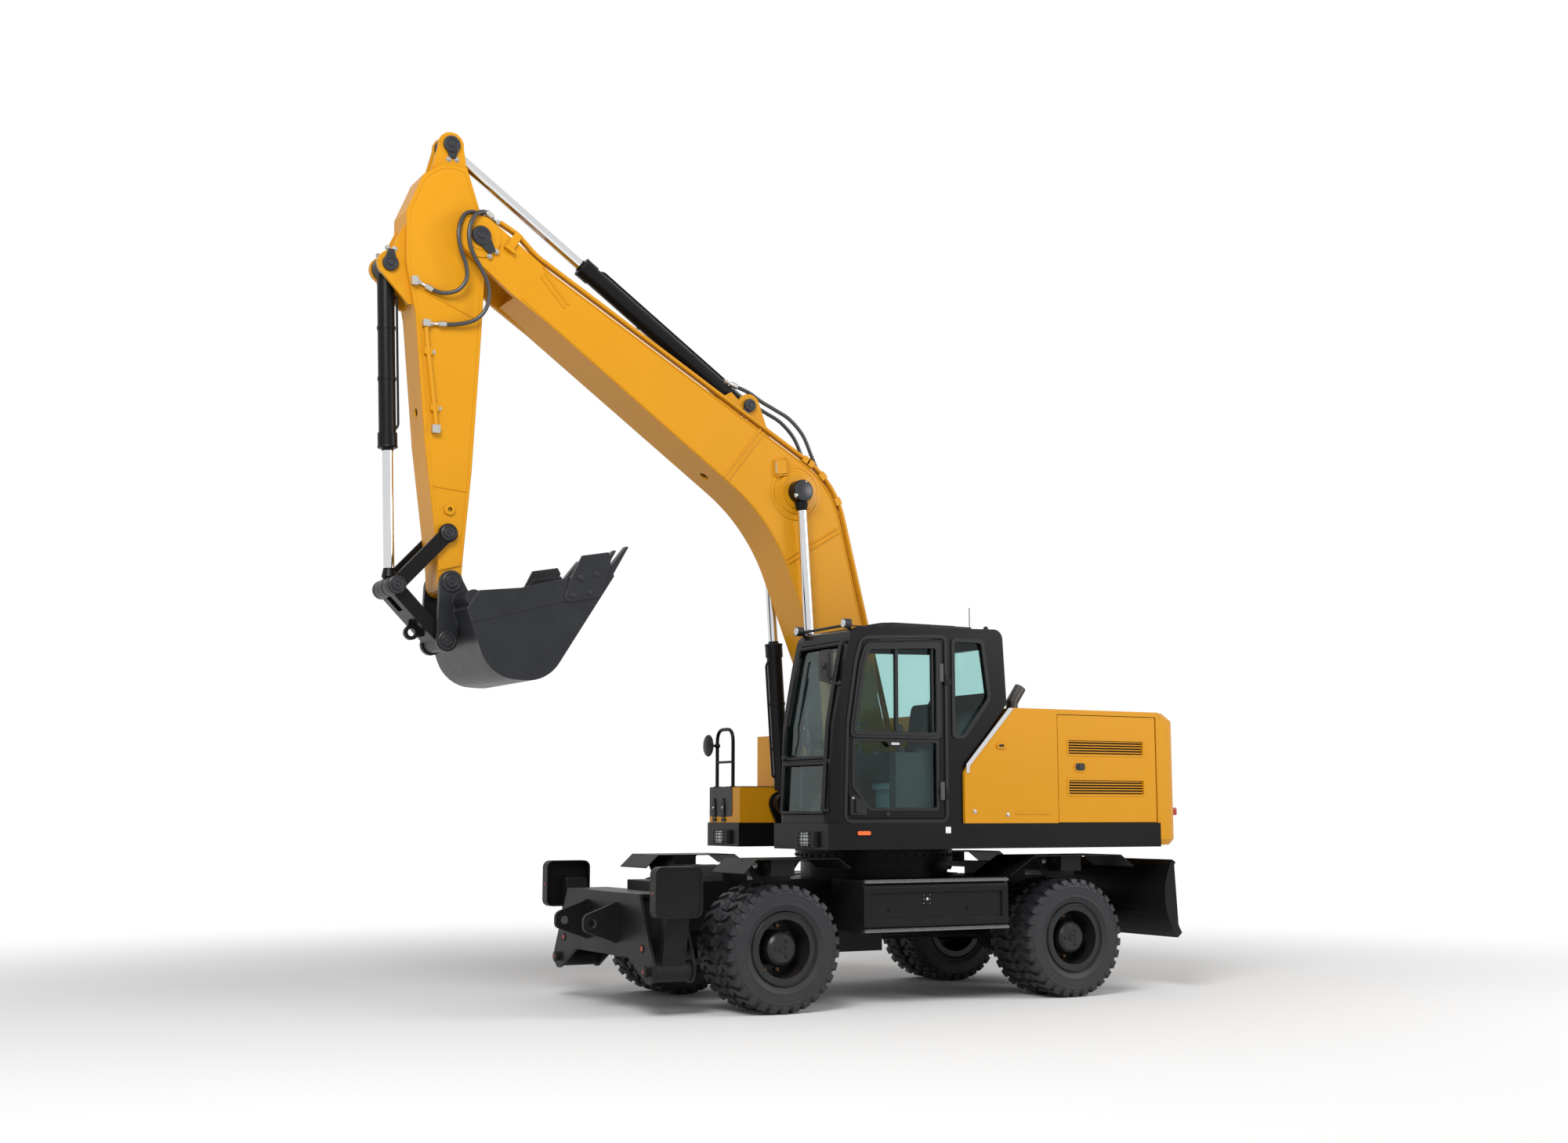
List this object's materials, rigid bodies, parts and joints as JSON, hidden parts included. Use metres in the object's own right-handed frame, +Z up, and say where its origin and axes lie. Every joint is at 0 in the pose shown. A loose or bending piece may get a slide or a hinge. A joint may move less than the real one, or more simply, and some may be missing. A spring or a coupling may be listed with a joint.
{
  "type": "wheeled excavator",
  "caption": "Wheeled excavator with a slewing upper, hollow cab, hinged boom, stick and bucket on hydraulic cylinders, steered twin wheels, front stabilizers and a rear blade.",
  "frame": {"origin": "on the ground under the middle of the machine's length and width", "axes": "+X forward towards the boom, +Y to the machine's left, +Z up"},
  "size_m": [7.6498, 2.5, 7.486],
  "materials": {
    "black_paint": "satin black paint",
    "yellow_paint": "semi-gloss golden yellow paint",
    "tyre_rubber": "matt rubber",
    "chrome_rod": "polished hard chrome",
    "tinted_glass": "lightly tinted glass",
    "seat_cloth": "woven seat cloth",
    "grey_plastic": "moulded grey plastic",
    "cast_iron": "painted casting",
    "bare_steel": "heat-stained steel",
    "lamp_plastic": "black lamp housing",
    "bucket_black": "black paint worn at the edges"
  },
  "bodies": {
    "chassis": {"chassis_frame": "black_paint", "slew_ring": "black_paint", "front_axle": "black_paint", "rear_axle": "black_paint", "driveline": "black_paint", "stabilizer_frame": "black_paint", "fenders": "black_paint", "step_boxes": "black_paint"},
    "knuckle_left": {"knuckle_left": "black_paint"},
    "knuckle_right": {"knuckle_right": "black_paint"},
    "wheel_front_left": {"tyres_front_left": "tyre_rubber", "rims_front_left": "black_paint"},
    "wheel_front_right": {"tyres_front_right": "tyre_rubber", "rims_front_right": "black_paint"},
    "wheel_rear_left": {"tyres_rear_left": "tyre_rubber", "rims_rear_left": "black_paint"},
    "wheel_rear_right": {"tyres_rear_right": "tyre_rubber", "rims_rear_right": "black_paint"},
    "blade": {"blade": "black_paint"},
    "blade_barrels": {"blade_barrels": "black_paint"},
    "blade_rods": {"blade_rods": "chrome_rod"},
    "outrigger_left": {"outrigger_left": "black_paint"},
    "outrigger_right": {"outrigger_right": "black_paint"},
    "upper": {"upper_frame": "black_paint", "counterweight": "yellow_paint", "hood_body": "yellow_paint", "engine": "cast_iron", "tanks": "yellow_paint", "tool_box": "yellow_paint", "handrail": "black_paint", "exhaust_pipe": "bare_steel", "work_lamps": "lamp_plastic", "cab_shell": "black_paint", "cab_glass": "tinted_glass", "seat": "seat_cloth", "controls": "grey_plastic", "cab_mirror": "black_paint"},
    "engine_hood": {"engine_hood": "yellow_paint"},
    "left_service_door": {"left_service_door": "yellow_paint"},
    "right_service_door": {"right_service_door": "yellow_paint"},
    "cab_door": {"cab_door": "black_paint", "cab_door_glass": "tinted_glass"},
    "boom": {"boom": "yellow_paint", "boom_lamp": "yellow_paint"},
    "boom_barrels": {"boom_barrels": "black_paint"},
    "boom_rods": {"boom_rods": "chrome_rod"},
    "arm_barrel": {"arm_barrel": "black_paint"},
    "arm_rod": {"arm_rod": "chrome_rod"},
    "stick": {"stick": "yellow_paint"},
    "bucket_barrel": {"bucket_barrel": "black_paint"},
    "bucket_rod": {"bucket_rod": "chrome_rod"},
    "rocker": {"rocker": "black_paint"},
    "h_link": {"h_link": "black_paint"},
    "bucket": {"bucket": "bucket_black"}
  },
  "joints": [
    {"name": "slew", "type": "hinge", "parent": "chassis", "child": "upper", "pos_m": [-1.01, 0, 1.33], "axis": [0, 0, 1], "continuous": true},
    {"name": "steer_left", "type": "hinge", "parent": "chassis", "child": "knuckle_left", "pos_m": [0.61, 0.72, 0.5275], "axis": [0, 0, 1], "range_deg": [-25, 25]},
    {"name": "steer_right", "type": "hinge", "parent": "chassis", "child": "knuckle_right", "pos_m": [0.61, -0.72, 0.5275], "axis": [0, 0, 1], "range_deg": [-26, 26]},
    {"name": "spin_front_left", "type": "hinge", "parent": "knuckle_left", "child": "wheel_front_left", "pos_m": [0.61, 0.9485, 0.5275], "axis": [0, 1, 0], "continuous": true},
    {"name": "spin_front_right", "type": "hinge", "parent": "knuckle_right", "child": "wheel_front_right", "pos_m": [0.61, -0.9485, 0.5275], "axis": [0, 1, 0], "continuous": true},
    {"name": "spin_rear_left", "type": "hinge", "parent": "chassis", "child": "wheel_rear_left", "pos_m": [-2.37, 0.9485, 0.5275], "axis": [0, 1, 0], "continuous": true},
    {"name": "spin_rear_right", "type": "hinge", "parent": "chassis", "child": "wheel_rear_right", "pos_m": [-2.37, -0.9485, 0.5275], "axis": [0, 1, 0], "continuous": true},
    {"name": "blade_lift", "type": "hinge", "parent": "chassis", "child": "blade", "pos_m": [-2.57, 0, 0.7], "axis": [0, 1, 0], "range_deg": [-36, 2]},
    {"name": "blade_barrel_swing", "type": "hinge", "parent": "chassis", "child": "blade_barrels", "pos_m": [-2.81, 0, 0.985], "axis": [0, 1, 0], "range_deg": [-35.15, 2.9]},
    {"name": "blade_rod_slide", "type": "slide", "parent": "blade_barrels", "child": "blade_rods", "axis": [-0.8769, 0, -0.4806], "range_m": [-0.0227, 0.2392]},
    {"name": "stabilizer_left_swing", "type": "hinge", "parent": "chassis", "child": "outrigger_left", "pos_m": [1.525, 0.96, 0.367], "axis": [-1, 0, 0], "range_deg": [0, 115]},
    {"name": "stabilizer_right_swing", "type": "hinge", "parent": "chassis", "child": "outrigger_right", "pos_m": [1.525, -0.96, 0.367], "axis": [1, 0, 0], "range_deg": [0, 115]},
    {"name": "cab_door_swing", "type": "hinge", "parent": "upper", "child": "cab_door", "pos_m": [-0.996, 1.238, 2.4], "axis": [0, 0, 1], "range_deg": [0, 150]},
    {"name": "left_door_swing", "type": "hinge", "parent": "upper", "child": "left_service_door", "pos_m": [-3.319, 1.2275, 2.05], "axis": [0, 0, 1], "range_deg": [0, 110]},
    {"name": "right_door_swing", "type": "hinge", "parent": "upper", "child": "right_service_door", "pos_m": [-3.319, -1.2275, 2.05], "axis": [0, 0, -1], "range_deg": [0, 110]},
    {"name": "hood_lift", "type": "hinge", "parent": "upper", "child": "engine_hood", "pos_m": [-2.19, 0, 2.598], "axis": [0, 1, 0], "range_deg": [0, 80]},
    {"name": "boom_lift", "type": "hinge", "parent": "upper", "child": "boom", "pos_m": [-1.005, -0.15, 1.96], "axis": [0, -1, 0], "range_deg": [-77, 6]},
    {"name": "boom_barrel_swing", "type": "hinge", "parent": "upper", "child": "boom_barrels", "pos_m": [-0.32, -0.15, 1.73], "axis": [0, -1, 0], "range_deg": [-88.15, 7.79]},
    {"name": "boom_rod_slide", "type": "slide", "parent": "boom_barrels", "child": "boom_rods", "axis": [0.0674, 0, 0.9977], "range_m": [-0.8009, 0.0716]},
    {"name": "stick_swing", "type": "hinge", "parent": "boom", "child": "stick", "pos_m": [2.97, -0.15, 6.543], "axis": [0, 1, 0], "range_deg": [-110, 4]},
    {"name": "arm_barrel_swing", "type": "hinge", "parent": "boom", "child": "arm_barrel", "pos_m": [0.306, -0.15, 5.372], "axis": [0, -1, 0], "range_deg": [-4.36, 1.12]},
    {"name": "arm_rod_slide", "type": "slide", "parent": "arm_barrel", "child": "arm_rod", "axis": [0.8224, 0, 0.5689], "range_m": [-1.407, 0.0608]},
    {"name": "bucket_curl", "type": "hinge", "parent": "stick", "child": "bucket", "pos_m": [3.142, -0.15, 3.548], "axis": [0, 1, 0], "range_deg": [-125, 2]},
    {"name": "rocker_swing", "type": "hinge", "parent": "stick", "child": "rocker", "pos_m": [3.176, -0.15, 3.96], "axis": [0, -1, 0], "range_deg": [-2.63, 102.92]},
    {"name": "link_swing", "type": "hinge", "parent": "rocker", "child": "h_link", "pos_m": [3.605, -0.15, 3.5], "axis": [0, -1, 0], "range_deg": [-59.41, 1.94]},
    {"name": "bucket_barrel_swing", "type": "hinge", "parent": "stick", "child": "bucket_barrel", "pos_m": [3.715, -0.15, 6.23], "axis": [0, -1, 0], "range_deg": [-4.47, 1.05]},
    {"name": "bucket_rod_slide", "type": "slide", "parent": "bucket_barrel", "child": "bucket_rod", "axis": [-0.0403, 0, -0.9992], "range_m": [-0.978, 0.0255]}
  ],
  "couplings": [
    {"joint": "steer_right", "follows": "steer_left", "ratio": 1},
    {"joint": "blade_barrel_swing", "follows": "blade_lift", "ratio": 0.94856},
    {"joint": "blade_rod_slide", "follows": "blade_lift", "m_per_rad": -0.36473},
    {"joint": "boom_barrel_swing", "follows": "boom_lift", "ratio": 1.1319},
    {"joint": "boom_rod_slide", "follows": "boom_lift", "m_per_rad": 0.58848},
    {"joint": "arm_barrel_swing", "follows": "stick_swing", "ratio": 0.030542},
    {"joint": "arm_rod_slide", "follows": "stick_swing", "m_per_rad": 0.72767},
    {"joint": "rocker_swing", "follows": "bucket_curl", "ratio": -0.81537},
    {"joint": "link_swing", "follows": "bucket_curl", "ratio": 0.46729},
    {"joint": "bucket_barrel_swing", "follows": "bucket_curl", "ratio": 0.027747},
    {"joint": "bucket_rod_slide", "follows": "bucket_curl", "m_per_rad": 0.44371}
  ]
}
